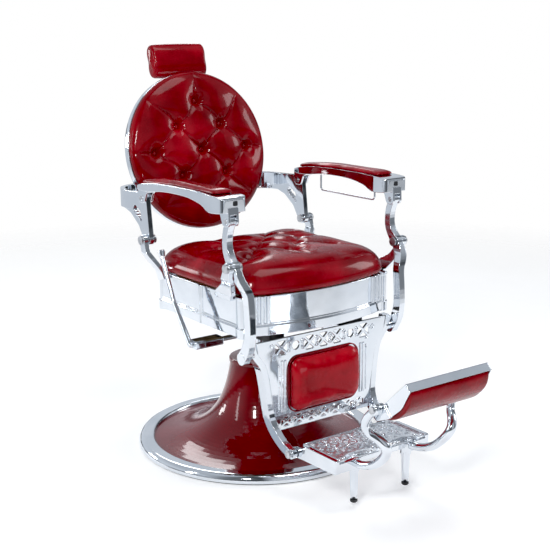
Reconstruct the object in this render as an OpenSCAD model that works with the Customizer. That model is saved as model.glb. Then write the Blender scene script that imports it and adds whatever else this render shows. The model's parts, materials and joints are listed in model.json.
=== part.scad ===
// Hydraulic barber chair, built as separate pieces in one frame.
// Lengths are millimetres. +Z is up, the chair faces -Y, and the origin is the centre of its floor face.

/* [Base] */
// Outer radius of the chrome base ring
base_r = 355; // [345:1:365]
// Width of the chrome base ring
ring_width = 47; // [42:1:52]
// Height of the chrome base ring above the floor
ring_top_z = 27.5; // [26:0.5:30]
// Outer radius of the red cover at its neck
neck_r = 80; // [77:1:84]
// Height of the red cover's neck
neck_z = 250; // [245:1:255]

/* [Lift] */
// Radius of the lifting piston
piston_r = 32; // [28:1:36]
// Height of the piston's flange that carries the seat
flange_z = 384; // [382:1:386]

/* [Seat] */
// Half the width of the chrome skirt
skirt_half = 252; // [250:1:254]
// Height of the skirt's lower edge
skirt_low_z = 418; // [418:1:422]
// Height of the skirt's upper edge
skirt_top_z = 523; // [520:1:525]
// Height of the seat cushion's top
cushion_top_z = 606; // [600:1:612]
// How far the front panel bows out past its corners
front_bow = 41; // [38:1:44]

/* [Linkage] */
// Distance of the recline pivot behind the seat centre
recline_y = 134; // [130:1:138]
// Height of the recline pivot
recline_z = 615; // [612:1:618]
// Distance of the leg pivot from the seat centre
leg_y = -289; // [-292:1:-286]
// Height of the leg pivot
leg_z = 608; // [606:1:612]
// How far the arm pivots lie behind the pivots below them
link_y = 14; // [12:1:16]
// How far the arm pivots lie above the pivots below them
link_z = 118; // [116:1:120]

/* [Backrest] */
// Radius of the chrome back dish
dish_r = 236; // [230:1:240]
// Backward lean of the backrest at rest, in degrees
lean = 12; // [11:1:13]
// Half the length of the headrest roll
headrest_half = 97; // [90:1:104]

/* [Footrest] */
// Half the width across the footplate's side rails
foot_half = 159; // [156:1:159]
// Upward tilt of the flip-over pad, in degrees
pad_tilt = 44; // [42:1:46]
// Half the length of the flip-over pad
pad_half = 135; // [132:1:135]

/* [Hidden] */

$fn = 64;
chrome = "gainsboro";
enamel = "maroon";
hide = "firebrick";
steel = "slategray";
iron = "#3a3a3c";
black = "#1c1c1c";
plywood = "burlywood";

// Clearances: a running fit, a gap between pieces, and an open pivot
run_gap = 0.05;
gap = 0.3;
open_gap = 0.5;
joint_swell = 1.03;

// Pivots in the side view, as [y, z]
recline_pivot = [recline_y, recline_z];
leg_pivot = [leg_y, leg_z];
link = [link_y, link_z];
arm_rear_pivot = recline_pivot + link;
arm_front_pivot = leg_pivot + link;

// Heights of the base
floor_pad_h = 3;
plate_top_z = 17;
plate_r = base_r - 15;
ring_inner_r = base_r - ring_width;

// Planes across the chair, as distances from the middle
post_in = 266;
post_out = 284;
cheek_in = 259.5;
cheek_out = 290.5;
back_plate_in = 268;
back_plate_out = 282;
bracket_in = 286.5;
bracket_out = 299;

// Pedal and pump
bolt_circle_r = 69;
pedal_turn = 53.6;
pedal_pivot = [100, 60];
pedal_slope = 4;
pedal_pin_r = 8;
plunger_at = 128;
plunger_r = 7;

// Seat
front_curve_r = (pow(226, 2) + pow(front_bow, 2)) / (2 * front_bow);
front_y = -284 - front_bow;
skirt_wall = 6;
rear_y = 132;
board_z = 513.2;
board_h = 10;

// Recline lock: the pin on the leg rest swings about the leg pivot on this radius
lock_x = 85;
lock_swing_r = 235;
lock_half_angle = 20;
lock_pin = leg_pivot + lock_swing_r * [sin(lock_half_angle), -cos(lock_half_angle)];
lock_z = leg_z - lock_swing_r * (1 + cos(lock_half_angle)) / 2;
lock_pin_r = 5;

// Lever
lever_x = -308;
shaft_at = [-124, 372];
shaft_r = 7;

// Backrest's own frame has its origin at the middle of the dish
dish_at = [0, 313, 828];
dish_front = -8;
dish_back = 30;
dish_wall = 2.5;
bar_y = 76;
headrest_hinge = [80, 280];

// Footrest
foot_hinge = [-385, 115];
deck_z = 143;
flip_hinge = [-680, 317];

// ---- Shape helpers ----

// Arc that rounds the corner b, between a and c, with radius r
function corner_arc(a, b, c, r, steps) =
    let (
        to_a = (a - b) / norm(a - b),
        to_c = (c - b) / norm(c - b),
        half = acos(to_a * to_c) / 2,
        centre = b + (to_a + to_c) / norm(to_a + to_c) * r / sin(half),
        start = b + to_a * r / tan(half) - centre,
        end = b + to_c * r / tan(half) - centre,
        sweep = 180 - 2 * half
    )
    [for (i = [0:steps])
        centre + (sin(sweep * (1 - i / steps)) * start + sin(sweep * i / steps) * end) / sin(sweep)];

// Outline with rounded corners: each point is [x, y, corner radius]
function rounded(points, steps = 6) =
    let (count = len(points))
    [for (i = [0:count - 1])
        let (
            a = points[(i + count - 1) % count],
            b = points[i],
            c = points[(i + 1) % count]
        )
        each b[2] > 0
            ? corner_arc([a[0], a[1]], [b[0], b[1]], [c[0], c[1]], b[2], steps)
            : [[b[0], b[1]]]];

// Point at t on the smooth curve from b to c
function curve_point(a, b, c, d, t) =
    0.5 * (2 * b + (c - a) * t + (2 * a - 5 * b + 4 * c - d) * t * t + (3 * b - a - 3 * c + d) * t * t * t);

// Smooth curve through points
function smooth(points, steps = 4) =
    let (last = len(points) - 1)
    [for (i = [0:last - 1]) for (k = [0:steps - 1])
        curve_point(points[max(i - 1, 0)], points[i], points[i + 1], points[min(i + 2, last)], k / steps),
     points[last]];

// One side of a ribbon whose path points are [x, y, half width]
function ribbon_side(path, side) =
    [for (i = [0:len(path) - 1])
        let (
            a = path[max(i - 1, 0)],
            c = path[min(i + 1, len(path) - 1)],
            run = [c[0] - a[0], c[1] - a[1]],
            across = [-run[1], run[0]] / norm(run)
        )
        [path[i][0], path[i][1]] + side * across * path[i][2]];

function ribbon(path) = let (other = ribbon_side(path, -1))
    concat(ribbon_side(path, 1), [for (i = [len(other) - 1:-1:0]) other[i]]);

// Side outline in (y, z), extruded from x0 to x1
module along_x(x0, x1) {
    translate([x0, 0, 0]) rotate([90, 0, 90]) linear_extrude(x1 - x0) children();
}

// Front outline in (x, z), extruded from y0 to y1
module along_y(y0, y1) {
    translate([0, y1, 0]) rotate([90, 0, 0]) linear_extrude(y1 - y0) children();
}

// Plan outline in (x, y), extruded from z0 to z1
module along_z(z0, z1) {
    translate([0, 0, z0]) linear_extrude(z1 - z0) children();
}

module rod_x(x0, x1, at, r) {
    translate([x0, at[0], at[1]]) rotate([0, 90, 0]) cylinder(r = r, h = x1 - x0);
}

module rod_z(z0, z1, at, r) {
    translate([at[0], at[1], z0]) cylinder(r = r, h = z1 - z0);
}

module hex_head(r, h) {
    cylinder(r = r, h = h, $fn = 6);
}

// Straight tapered rod from a to b
module strut(a, b, r1, r2) {
    run = b - a;
    translate(a)
        rotate([0, acos(run[2] / norm(run)), atan2(run[1], run[0])])
            cylinder(h = norm(run), r1 = r1, r2 = r2);
}

// Bent rod through the points, with a slightly fuller round joint at each bend
module bent_rod(points, r) {
    for (i = [0:len(points) - 2]) strut(points[i], points[i + 1], r, r);
    for (i = [1:len(points) - 2]) translate(points[i]) sphere(r = r * joint_swell);
}

// The right side (-X) is the mirror image of the left
module both_sides() {
    children();
    mirror([1, 0, 0]) children();
}

// Puts a piece drawn in the backrest's own frame into the chair
module in_back() {
    translate(dish_at) rotate([-lean, 0, 0]) children();
}

// Puts a piece drawn round the pedal's direction into the chair
module in_pedal() {
    rotate([0, 0, pedal_turn]) children();
}

// ---- Base ----

module floor_pad() color(black) cylinder(r = base_r - 8, h = floor_pad_h);

module base_plate() color(iron) difference() {
    rod_z(floor_pad_h, plate_top_z, [0, 0], plate_r);
    for (turn = [0:90:270]) rotate(turn) rod_z(6, 20, [bolt_circle_r, 0], 5 + run_gap);
}

module base_trim_ring() {
    outer = base_r;
    inner = ring_inner_r;
    color(chrome) rotate_extrude($fn = 128) polygon(rounded([
        [plate_r, floor_pad_h, 0], [outer, floor_pad_h, 6], [outer, ring_top_z, 17],
        [inner, ring_top_z, 8], [inner, plate_top_z, 0], [plate_r, plate_top_z, 0]
    ], 8));
}

// Height and radius along the red cover, from its neck (t = 0) to its skirt (t = 1)
function cover_point(t, inset) =
    pow(1 - t, 3) * [neck_r, neck_z] + 3 * pow(1 - t, 2) * t * [neck_r + 18, 140]
    + 3 * (1 - t) * t * t * [125, 30] + pow(t, 3) * [ring_inner_r - 0.5, plate_top_z + 1]
    - inset * [3, 1];

module base_cover() {
    steps = 28;
    color(enamel) difference() {
        rotate_extrude($fn = 128) polygon(concat(
            [for (i = [0:steps]) cover_point(i / steps, 0)],
            [[ring_inner_r - 0.5, plate_top_z], [ring_inner_r - 4, plate_top_z]],
            [for (i = [steps:-1:0]) cover_point(i / steps, 1)]
        ));
        in_pedal() translate([100, -14.5, 42]) cube([170, 29, 35]);
    }
}

module pedestal_collar() color(enamel) rotate_extrude($fn = 96) polygon(rounded([
    [piston_r + run_gap, neck_z - 15, 0], [43.9, neck_z - 15, 0], [43.9, neck_z, 0],
    [neck_r + 1.9, neck_z, 0], [neck_r + 1.9, neck_z - 7, 0], [neck_r + 4.4, neck_z - 7, 1.5],
    [neck_r + 4.4, neck_z + 6, 5], [62, neck_z + 9, 4], [50, neck_z + 16, 3],
    [piston_r + run_gap, neck_z + 16, 0]
], 4));

module pump_body() color(iron) difference() {
    union() {
        rod_z(plate_top_z, 27, [0, 0], 78);
        rod_z(20, 120, [0, 0], 60);
        in_pedal() for (side = [-1, 1]) translate([50, side * 20 - 5, 20]) cube([62, 10, 56]);
        in_pedal() translate([104, -17, plate_top_z]) cube([38, 34, 29]);
    }
    rod_z(30, 130, [0, 0], 50);
    for (turn = [0:90:270]) rotate(turn) rod_z(10, 30, [bolt_circle_r, 0], 5 + run_gap);
    in_pedal() rotate([90, 0, 0]) translate([pedal_pivot[0], pedal_pivot[1], -40])
        cylinder(r = pedal_pin_r, h = 80);
    in_pedal() rod_z(22, 60, [plunger_at, 0], plunger_r + run_gap);
}

module pump_cylinder() color(steel) difference() {
    rod_z(30, neck_z - gap, [0, 0], 50);
    rod_z(42, neck_z + 10, [0, 0], 44);
}

module base_bolts() color(steel) for (turn = [0:90:270]) rotate(turn) translate([bolt_circle_r, 0, 0]) {
    translate([0, 0, 27]) hex_head(8.5, 7);
    rod_z(8, 28, [0, 0], 5);
}

module pedal_pin() color(steel) in_pedal() rotate([90, 0, 0])
    translate([pedal_pivot[0], pedal_pivot[1], -29]) cylinder(r = pedal_pin_r, h = 58);

// Draws a piece along the pedal, with its origin at the pedal's pivot
module on_pedal() {
    in_pedal() translate([pedal_pivot[0], 0, pedal_pivot[1]]) rotate([0, -pedal_slope, 0]) children();
}

module pump_pedal() color(steel) on_pedal() difference() {
    union() {
        translate([0, 14.5, 0]) rotate([90, 0, 0]) cylinder(r = 14, h = 29);
        translate([0, -11, -6]) cube([300, 22, 12]);
        translate([293, 0, -6]) along_z(0, 12)
            polygon(rounded([[0, -34, 8], [44, -34, 8], [44, 34, 8], [0, 34, 8]]));
    }
    translate([0, 20, 0]) rotate([90, 0, 0]) cylinder(r = pedal_pin_r + run_gap, h = 40);
}

module pedal_pad() color(black) on_pedal() translate([293, 0, 6])
    along_z(0, 6) polygon(rounded([[-2, -36, 9], [46, -36, 9], [46, 36, 9], [-2, 36, 9]]));

module pump_plunger() color(steel) in_pedal() {
    rod_z(30, 48, [plunger_at, 0], plunger_r);
    translate([plunger_at, 0, 48]) sphere(r = plunger_r);
}

// ---- Lift ----

module lift_piston() color(chrome) {
    rod_z(60, 76, [0, 0], 44 - run_gap);
    rod_z(75, flange_z - 30, [0, 0], piston_r);
    translate([0, 0, flange_z - 32]) cylinder(r1 = piston_r, r2 = 58, h = 18);
    rod_z(flange_z - 14, flange_z, [0, 0], 58);
    rod_z(flange_z - 1, flange_z + 42, [0, 0], 25);
}

module swivel_bearing() color(steel) difference() {
    rod_z(flange_z, flange_z + 5, [0, 0], 56);
    rod_z(flange_z - 1, flange_z + 6, [0, 0], 25);
}

// ---- Seat ----

carrier_low_z = flange_z + 5.3;
carrier_arm_z = 394;
rail_top_z = 417;
rail_in = 112;
rail_out = 160;

module seat_carrier() color(iron) difference() {
    union() {
        rod_z(carrier_low_z, 430, [0, 0], 62);
        for (y0 = [-140, -25]) translate([-rail_in, y0, carrier_arm_z]) cube([2 * rail_in, 34, 22]);
        for (x0 = [-104, 30]) along_x(x0, x0 + 24) polygon(rounded([
            [shaft_at[0] - 16, carrier_arm_z + 1, 0], [shaft_at[0] - 13, shaft_at[1] - 14, 10],
            [shaft_at[0] + 13, shaft_at[1] - 14, 10], [shaft_at[0] + 16, carrier_arm_z + 1, 0]
        ]));
    }
    rod_z(flange_z, 440, [0, 0], 25 + run_gap);
    rod_x(-110, 60, shaft_at, shaft_r + run_gap);
}

module seat_frame() color(iron) {
    both_sides() translate([rail_in, -278, 386]) cube([rail_out - rail_in, 378, rail_top_z - 386]);
    for (y0 = [-240, 64]) {
        translate([skirt_wall - skirt_half, y0, rail_top_z]) cube([2 * (skirt_half - skirt_wall), 30, 26]);
        both_sides() rod_z(rail_top_z + 26, board_z, [205, y0 + 15], 13);
    }
}

// Cross-section of a skirt panel: distance out from its inner face, then height
function skirt_section(lip = 3) = [
    [0, skirt_low_z], [skirt_wall + lip, skirt_low_z], [skirt_wall + lip, 442],
    [skirt_wall + 1, 446], [skirt_wall + 1, 449], [skirt_wall, 451],
    [skirt_wall, skirt_top_z], [0, skirt_top_z]
];

module skirt_front() {
    turn = 20.4;
    centre_y = front_y + front_curve_r;
    color(chrome) {
        translate([0, centre_y, 0]) rotate([0, 0, -90 - turn]) rotate_extrude(angle = 2 * turn, $fn = 180)
            polygon([for (p = skirt_section()) [p[0] + front_curve_r - skirt_wall, p[1]]]);
        both_sides() for (a = [16.1, 17.6, 19.1])
            rod_z(449, skirt_top_z, [front_curve_r * sin(a), centre_y - front_curve_r * cos(a)], 5.5);
    }
}

module skirt_sides() {
    inner = skirt_half - skirt_wall;
    color(chrome) both_sides() {
        along_y(-259, 108) polygon([for (p = skirt_section()) [p[0] + inner, p[1]]]);
        rod_z(skirt_low_z, skirt_top_z, [skirt_half - 2, -92], 8);
    }
}

module skirt_rear() color(chrome) along_x(-224, 224)
    polygon([for (p = skirt_section()) [rear_y - skirt_wall + p[0], p[1]]]);

module corner_posts() color(chrome) both_sides() {
    for (at = [[235, -268], [236, 117]]) {
        rod_z(skirt_low_z - 4, skirt_top_z, at, 17);
        rod_z(skirt_low_z - 4, 440, at, 20);
        rod_z(skirt_top_z - 7, skirt_top_z, at, 19);
    }
}

// Plan outline of the seat with a bowed front: half width, back edge, front bow's middle and corner radius
function seat_outline(half, back, front, corner) =
    let (
        curve_r = front_curve_r,
        centre_y = front + curve_r,
        arc_half = half - 62,
        corner_y = centre_y - sqrt(pow(curve_r, 2) - pow(half, 2))
    )
    rounded(concat(
        [[half, back, corner], [-half, back, corner], [-half, corner_y, corner]],
        [for (i = [-4:4]) let (x = arc_half * i / 4) [x, centre_y - sqrt(pow(curve_r, 2) - x * x), 0]],
        [[half, corner_y, corner]]
    ), 8);

module seat_board() color(plywood) along_z(board_z, board_z + board_h)
    polygon(seat_outline(skirt_half - skirt_wall - 20, rear_y - 30, front_y + 28, 36));

module seat_cushion() color(hide) {
    along_z(board_z + board_h + gap, cushion_top_z - 14) polygon(seat_outline(255, 148, front_y - 7, 48));
    along_z(cushion_top_z - 14.5, cushion_top_z) polygon(seat_outline(241, 134, front_y + 7, 44));
}

module front_brackets() {
    base_z = 512;
    color(chrome) both_sides() difference() {
        union() {
            intersection() {
                along_x(skirt_half, bracket_out) polygon(rounded([
                    [-250, base_z, 0], [-182, base_z, 0], [-182, 526, 3], [leg_y + 34, 566, 20],
                    [leg_y + 13, leg_z + 6, 4], [leg_y - 10, leg_z + 8, 5], [leg_y - 6, 570, 20],
                    [-266, 528, 6], [-256, 524, 3]
                ]));
                along_y(-330, -160) polygon([
                    [skirt_half, base_z], [skirt_half + 12, base_z], [skirt_half + 16, 526],
                    [bracket_out, 580], [bracket_out, 640], [bracket_in, 640], [bracket_in, 582],
                    [257.5, 531], [257.5, 517.5], [skirt_half, 517.5]
                ]);
            }
            rod_x(bracket_in, bracket_out, leg_pivot, 15);
        }
        rod_x(bracket_in - 5, bracket_out + 5, leg_pivot, 8);
    }
}

module rear_brackets() {
    path = smooth([
        [recline_y, recline_z, 14], [recline_y - 6, 592, 13], [recline_y - 16, 566, 14],
        [102, 540, 15], [92, 505, 17]
    ]);
    color(chrome) both_sides() difference() {
        union() {
            intersection() {
                along_x(skirt_half, bracket_out) polygon(ribbon(path));
                along_y(40, 180) polygon([
                    [skirt_half, 500], [skirt_half + 12, 500], [skirt_half + 16, 526],
                    [bracket_out, 580], [bracket_out, 640], [bracket_in, 640], [bracket_in, 586],
                    [257.5, 531], [257.5, 517.5], [skirt_half, 517.5]
                ]);
            }
            rod_x(bracket_in, bracket_out, recline_pivot, 15);
        }
        rod_x(bracket_in - 5, bracket_out + 5, recline_pivot, 8);
    }
}

module pivot_pins() color(steel) both_sides() for (at = [leg_pivot, recline_pivot]) {
    rod_x(260, bracket_out + 2, at, 8);
    rod_x(258, 263, at, 12);
    rod_x(bracket_out + gap, bracket_out + 6, at, 12);
}

module lock_cylinder() color(steel) {
    hanger_y = [-132, -8];
    hanger_r = carrier_arm_z - lock_z - 0.1;
    difference() {
        union() {
            translate([lock_x, 60, lock_z]) rotate([90, 0, 0]) cylinder(r = 13, h = 245);
            for (y = hanger_y)
                translate([lock_x, y + 16, lock_z]) rotate([90, 0, 0]) cylinder(r = hanger_r, h = 16);
            for (y = hanger_y) translate([lock_x - 9, y, lock_z]) cube([18, 16, carrier_arm_z - lock_z]);
        }
        translate([lock_x, 50, lock_z]) rotate([90, 0, 0]) cylinder(r = 10.5, h = 220);
        translate([lock_x, 60, lock_z]) rotate([90, 0, 0]) cylinder(r = 5 + run_gap, h = 260);
    }
}

// ---- Recline lock rod ----

module lock_rod() {
    slot_half = lock_swing_r * (1 - cos(lock_half_angle)) / 2 + 1;
    eye_r = lock_pin_r + 1.2;
    color(steel) difference() {
        union() {
            translate([lock_x, 20, lock_z]) rotate([90, 0, 0]) cylinder(r = 5, h = 20 - lock_pin[0] - 12);
            translate([lock_x, 10, lock_z]) rotate([90, 0, 0]) cylinder(r = 10.5 - run_gap, h = 14);
            along_x(lock_x - 4, lock_x + 4) translate([lock_pin[0], lock_z]) polygon(rounded([
                [-13, -slot_half - 13, 10], [13, -slot_half - 13, 10],
                [13, slot_half + 13, 10], [-13, slot_half + 13, 10]
            ]));
        }
        for (side = [-1, 1]) rod_x(lock_x - 9, lock_x + 9, [lock_pin[0], lock_z + side * slot_half], eye_r);
        along_x(lock_x - 9, lock_x + 9) translate([lock_pin[0] - eye_r, lock_z - slot_half])
            square([2 * eye_r, 2 * slot_half]);
    }
}

// ---- Recline lever ----

knob_at = [13, 603];

module lever_arm() color(chrome) {
    bend = [lever_x, -122, 374];
    strut([lever_x, knob_at[0], knob_at[1] - 8], [lever_x, -43, 479], 6.5, 6.5);
    translate([lever_x, -43, 479]) sphere(r = 6.5 * joint_swell);
    strut([lever_x, -43, 479], bend, 6.5, 7.5);
    translate(bend) sphere(r = 7.5 * joint_swell);
    rod_x(lever_x, -296, shaft_at, shaft_r);
}

module lever_knob() color(chrome) {
    slope = [knob_at[0] + 43, knob_at[1] - 479];
    lift = slope / norm(slope);
    at = [lever_x, knob_at[0], knob_at[1]];
    strut(at - 12 * [0, lift[0], lift[1]], at, 7.5, 10);
    strut(at, at + 5 * [0, lift[0], lift[1]], 10, 8.5);
}

module lever_clamp() {
    block = [-300, -214];
    color(chrome) {
        difference() {
            along_x(block[0], block[1]) polygon(rounded([
                [shaft_at[0] - 18, shaft_at[1] - 11, 5], [shaft_at[0] + 22, shaft_at[1] - 11, 5],
                [shaft_at[0] + 22, shaft_at[1] + 11, 5], [shaft_at[0] - 18, shaft_at[1] + 11, 5]
            ]));
            rod_x(block[0] - 1, block[1] + 1, shaft_at, shaft_r);
        }
        for (x = [block[0] + 16, block[1] - 28])
            translate([x, shaft_at[0] + 12, shaft_at[1] - 17]) hex_head(7, 6);
    }
}

module lever_shaft() color(steel) {
    rod_x(-296, 60, shaft_at, shaft_r);
    along_x(56, 64) polygon(rounded([
        [shaft_at[0] - 9, shaft_at[1] - 9, 4], [shaft_at[0] + 9, shaft_at[1] - 9, 4],
        [shaft_at[0] + 6, shaft_at[1] + 18, 4], [shaft_at[0] - 6, shaft_at[1] + 18, 4]
    ]));
}

// ---- Backrest ----

// Side casting with its inward strap behind the dish, on the left side (+X)
module back_casting() {
    strap_low = 690;
    strap_top = 742;
    strap = smooth([
        [275, 215, 7], [275, 250, 7], [270, 285, 7], [248, 318, 7],
        [205, 341, 7], [160, 350, 7], [118, 352, 7]
    ]);
    color(chrome) difference() {
        union() {
            along_x(back_plate_in, back_plate_out) polygon(rounded([
                [recline_y - 15, recline_z, 6], [recline_y - 5, recline_z - 16, 10],
                [recline_y + 16, recline_z - 8, 10], [178, 650, 30], [222, 680, 20],
                [258, strap_low, 0], [258, strap_top, 0], [arm_rear_pivot[0] + 6, arm_rear_pivot[1] + 14, 14],
                [arm_rear_pivot[0] - 14, arm_rear_pivot[1] + 8, 10]
            ]));
            rod_x(back_plate_in, back_plate_out, recline_pivot, 16);
            rod_x(back_plate_in, back_plate_out, arm_rear_pivot, 14);
            along_z(strap_low, strap_top) polygon(ribbon(strap));
        }
        rod_x(back_plate_in - 5, back_plate_out + 5, recline_pivot, 8 + run_gap);
        rod_x(back_plate_in - 5, back_plate_out + 5, arm_rear_pivot, 6 + run_gap);
        for (at = [[176, 683], [196, 695]]) rod_x(back_plate_in - 5, back_plate_out + 5, at, 11);
        rod_x(back_plate_in - 5, back_plate_out + 5, [186, 689], 11);
        along_x(back_plate_in - 5, back_plate_out + 5)
            polygon([[160, 668], [166, 662], [172, 668], [166, 674]]);
        for (z = [704, 728]) translate([140, 330, z]) rotate([-90, 0, 0]) cylinder(r = 4, h = 40);
    }
}

module back_plate_left() back_casting();

module back_plate_right() mirror([1, 0, 0]) back_casting();

module back_crossbar() color(iron) {
    translate([-158, 359, 696]) cube([316, 8, 40]);
    difference() {
        in_back() both_sides() translate([50, dish_back, -122]) cube([34, 60, 30]);
        translate([-100, 363, 600]) cube([200, 60, 200]);
    }
    both_sides() for (z = [704, 728]) translate([140, 350, z]) rotate([-90, 0, 0]) cylinder(r = 4, h = 22);
}

module back_shell() {
    inner_r = dish_r - dish_wall;
    color(chrome) in_back() rotate([-90, 0, 0]) rotate_extrude($fn = 128) polygon(rounded([
        [0, dish_back, 0], [dish_r, dish_back, 24], [dish_r, dish_front, 2], [inner_r - 3, dish_front, 1],
        [inner_r - 3, dish_front + 5, 0], [inner_r, dish_front + 7, 0],
        [inner_r, dish_back - dish_wall, 22], [0, dish_back - dish_wall, 0]
    ]));
}

module back_cushion() color(hide) in_back() rotate([-90, 0, 0]) rotate_extrude($fn = 96) polygon(concat(
    [[0, dish_front - gap], [dish_r - 8, dish_front - gap]],
    [for (i = [1:8]) let (a = i * 90 / 8) [dish_r - 22 + 18 * cos(a), dish_front - 22 - 18 * sin(a)]],
    [[150, dish_front - 48], [80, dish_front - 52], [0, dish_front - 53]]
));

socket_low = 150;
socket_top = 200;

module headrest_socket() color(chrome) in_back() difference() {
    union() {
        translate([-24, dish_back, socket_low]) cube([48, bar_y + 14 - dish_back, socket_top - socket_low]);
        translate([-45, dish_back, socket_low - 10]) cube([90, 6, socket_top - socket_low + 20]);
    }
    translate([-13 - run_gap, bar_y - 4 - run_gap, 100]) cube([26 + 2 * run_gap, 8 + 2 * run_gap, 140]);
    translate([0, bar_y + 3, 175]) rotate([-90, 0, 0]) cylinder(r = 5 + run_gap, h = 30);
}

module headrest_knob() color(black) in_back() translate([0, bar_y + 4 + gap, 175]) rotate([-90, 0, 0]) {
    cylinder(r = 5, h = 26);
    translate([0, 0, 12]) difference() {
        cylinder(r = 17, h = 15);
        for (turn = [0:60:300]) rotate(turn) translate([19.5, 0, -1]) cylinder(r = 5, h = 20);
    }
}

module headrest_bar() color(chrome) in_back() difference() {
    union() {
        translate([-13, bar_y - 4, 56]) cube([26, 8, 216]);
        translate([-13, headrest_hinge[0], headrest_hinge[1]]) rotate([0, 90, 0]) cylinder(r = 10, h = 26);
    }
    translate([-20, headrest_hinge[0], headrest_hinge[1]]) rotate([0, 90, 0])
        cylinder(r = 5 + run_gap, h = 40);
}

module headrest_board() color(iron) in_back() {
    difference() {
        translate([-70, 64, 246]) cube([140, 5, 66]);
        translate([-16, 60, 240]) cube([32, 12, 32]);
    }
    for (x = [-19.3, 13.3]) {
        translate([x, headrest_hinge[0], headrest_hinge[1]]) rotate([0, 90, 0]) cylinder(r = 9, h = 6);
        translate([x, 67, headrest_hinge[1] - 9]) cube([6, headrest_hinge[0] - 67, 18]);
    }
    translate([-19.3, headrest_hinge[0], headrest_hinge[1]]) rotate([0, 90, 0]) cylinder(r = 5, h = 38.6);
}

module headrest_cushion() color(hide) in_back() along_x(-headrest_half, headrest_half) polygon(rounded([
    [15, 228, 24], [63.5, 228, 20], [63.5, 331, 20], [15, 331, 22]
], 8));

// ---- Arms ----

rail_low_z = 758;
rail_top = smooth([[-289, 780], [-272, 787], [-200, 790], [-60, 790], [60, 785], [130, 775], [161, 766]]);
rail_underside = smooth([
    [161, rail_low_z], [90, rail_low_z], [0, 768], [-110, 769], [-185, 758], [-228, 745], [-286, 748]
]);

// Left arm (+X): top rail with its clevis lugs over the back plate and the leg post
module arm_casting() color(chrome) difference() {
    union() {
        intersection() {
            along_x(225, 320) polygon(concat(rail_top, rail_underside));
            along_z(700, 800) polygon(rounded([
                [232, -289, 16], [312, -289, 16], [312, -236, 8], [304, -180, 0], [302, 120, 0],
                [297, 161, 12], [256, 161, 12], [246, 120, 0], [240, -180, 0], [232, -236, 8]
            ]));
        }
        along_x(cheek_in, cheek_out) polygon(rounded([
            [-288, 760, 0], [-290, 712, 12], [-262, 712, 12], [-252, 738, 10], [-232, 760, 0]
        ]));
        along_x(cheek_in + 2, cheek_out - 2) polygon(rounded([
            [164, 766, 0], [165, 719, 14], [133, 719, 12], [122, 745, 10], [90, 766, 0]
        ]));
    }
    along_x(post_in - 0.5, post_out + 0.5) polygon([[-300, 700], [-300, 742], [-236, 742], [-220, 700]]);
    along_x(back_plate_in - 0.5, back_plate_out + 0.5) polygon([
        [180, 700], [180, 749.5], [arm_rear_pivot[0] - 16, 749.5], [100, 749.5], [80, 700]
    ]);
    rod_x(cheek_in - 5, cheek_out + 5, arm_front_pivot, 6);
    rod_x(cheek_in - 5, cheek_out + 5, arm_rear_pivot, 6);
}

module arm_left() arm_casting();

module arm_right() mirror([1, 0, 0]) arm_casting();

module arm_pad() color(hide) intersection() {
    along_x(225, 320) polygon(rounded([
        [-244, 780, 0], [-244, 793, 5], [-150, 799, 150], [0, 800, 200], [100, 793, 60],
        [138, 784, 8], [138, 770, 0]
    ]));
    along_z(760, 810) polygon(rounded([
        [238, -244, 8], [306, -244, 8], [299, -180, 60], [297, 120, 20], [292, 140, 14],
        [262, 140, 14], [252, 120, 30], [246, -180, 60]
    ]));
}

// The pad sits on the rail's top face
module arm_pad_seated() difference() {
    arm_pad();
    along_x(220, 330) polygon(concat([for (p = rail_top) p + [0, gap]], [[161, 700], [-289, 700]]));
}

module arm_pad_left() arm_pad_seated();

module arm_pad_right() mirror([1, 0, 0]) arm_pad_seated();

module arm_pins() color(steel) for (at = [arm_front_pivot, arm_rear_pivot]) {
    rod_x(cheek_in - 1, cheek_out + 1, at, 6);
}

module arm_pins_left() arm_pins();

module arm_pins_right() mirror([1, 0, 0]) arm_pins();

module towel_bar() {
    wire_r = 2.6;
    bend_r = 10;
    ends = [-200, 42];
    low_z = 714;
    color(chrome) translate([270, 0, 0]) rotate([90, 0, 90]) {
        for (i = [0, 1]) {
            translate([ends[i] + (i == 0 ? bend_r : -bend_r), low_z + bend_r, 0]) rotate(180 + 90 * i)
                rotate_extrude(angle = 90) translate([bend_r, 0]) circle(r = wire_r);
            translate([ends[i], low_z + bend_r, 0]) rotate([-90, 0, 0]) cylinder(r = wire_r, h = 36);
        }
        translate([ends[0] + bend_r, low_z, 0]) rotate([0, 90, 0])
            cylinder(r = wire_r, h = ends[1] - ends[0] - 2 * bend_r);
    }
}

// ---- Leg rest ----

// Where the leg posts' lower ends meet the leg rest's rails
foot_x = 245.2;

module leg_posts() {
    side_path = smooth([
        [arm_front_pivot[0], arm_front_pivot[1], 11], [-262, 692, 10.5], [-260, 655, 11], [-272, 628, 12],
        [leg_y, leg_z, 14], [-304, 585, 13], [-316, 560, 12], [-321, 528, 12], [-325, 480, 12.5],
        [-325, 430, 13], [-314, 394, 15], [-296, 368, 16]
    ]);
    front_path = smooth([
        [275, 750, 9], [275, 640, 9], [275, 588, 9.5], [266, 562, 10],
        [256, 536, 10], [255, 480, 9.5], [255, 340, 9.5]
    ]);
    color(chrome) both_sides() difference() {
        union() {
            intersection() {
                along_x(230, 300) polygon(ribbon(side_path));
                along_y(-360, -230) polygon(ribbon(front_path));
            }
            rod_x(post_in - 0.2, post_out + 0.2, arm_front_pivot, 12.5);
            rod_x(post_in - 0.2, post_out + 0.2, leg_pivot, 16.5);
            rod_x(foot_x, 264.8, [-296, 368], 16.8);
        }
        rod_x(240, 300, arm_front_pivot, 6 + open_gap);
        rod_x(240, 300, leg_pivot, 8 + run_gap);
    }
}

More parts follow.
